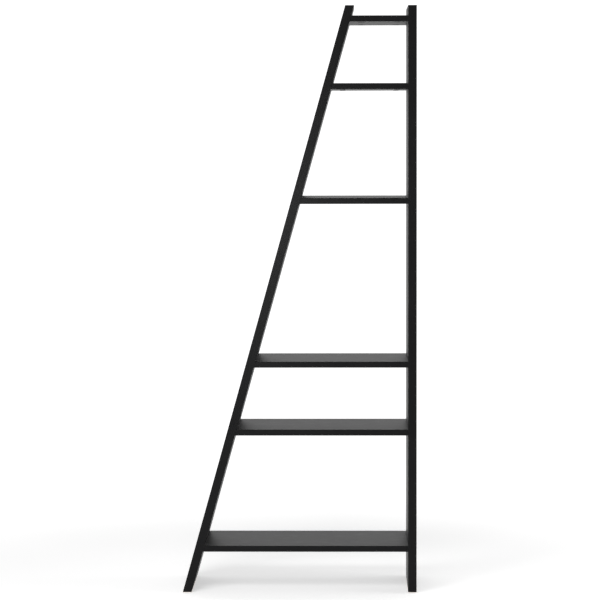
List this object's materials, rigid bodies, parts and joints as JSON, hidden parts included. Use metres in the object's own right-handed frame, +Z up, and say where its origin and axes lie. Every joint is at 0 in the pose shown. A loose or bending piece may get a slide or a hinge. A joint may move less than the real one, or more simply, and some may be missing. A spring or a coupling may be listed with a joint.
{
  "type": "ladder shelf",
  "caption": "Tall free-standing open shelf unit with one plumb upright, one upright that leans in towards it, and shelves that get shorter towards the top.",
  "frame": {"origin": "on the floor, at the middle of the base's width and depth", "axes": "+X to the right seen from the front, towards the plumb upright; the front faces -Y; +Z up"},
  "size_m": [0.744, 0.34, 1.86],
  "materials": {
    "black_board": "particleboard with a matt black melamine face and a fine texture",
    "black_edge_band": "matt black plastic edge band, 1 mm",
    "bolt_steel": "bright zinc-plated steel",
    "cam_zinc": "bare die-cast zinc, dull",
    "bracket_zinc": "pressed zinc-plated steel",
    "black_plastic": "moulded black polyethylene",
    "beech": "raw beech, fluted"
  },
  "bodies": {
    "root": {"leaning_upright": "black_board", "plumb_upright": "black_board", "leaning_upright_edge_bands": "black_edge_band", "plumb_upright_edge_bands": "black_edge_band", "shelf_1": "black_board", "shelf_1_edge_bands": "black_edge_band", "shelf_1_cam_bolts": "bolt_steel", "shelf_1_cam_locks": "cam_zinc", "shelf_1_cover_caps": "black_plastic", "shelf_1_dowels": "beech", "shelf_2": "black_board", "shelf_2_edge_bands": "black_edge_band", "shelf_2_cam_bolts": "bolt_steel", "shelf_2_cam_locks": "cam_zinc", "shelf_2_cover_caps": "black_plastic", "shelf_2_dowels": "beech", "shelf_3": "black_board", "shelf_3_edge_bands": "black_edge_band", "shelf_3_cam_bolts": "bolt_steel", "shelf_3_cam_locks": "cam_zinc", "shelf_3_cover_caps": "black_plastic", "shelf_3_dowels": "beech", "shelf_4": "black_board", "shelf_4_edge_bands": "black_edge_band", "shelf_4_cam_bolts": "bolt_steel", "shelf_4_cam_locks": "cam_zinc", "shelf_4_cover_caps": "black_plastic", "shelf_4_dowels": "beech", "shelf_5": "black_board", "shelf_5_edge_bands": "black_edge_band", "shelf_5_cam_bolts": "bolt_steel", "shelf_5_cam_locks": "cam_zinc", "shelf_5_cover_caps": "black_plastic", "shelf_5_dowels": "beech", "shelf_6": "black_board", "shelf_6_edge_bands": "black_edge_band", "shelf_6_cam_bolts": "bolt_steel", "shelf_6_cam_locks": "cam_zinc", "shelf_6_cover_caps": "black_plastic", "shelf_6_dowels": "beech", "leaning_upright_glides": "black_plastic", "plumb_upright_glides": "black_plastic", "glide_nails": "bolt_steel", "wall_brackets": "bracket_zinc", "wall_bracket_screws": "bolt_steel"}
  },
  "joints": []
}
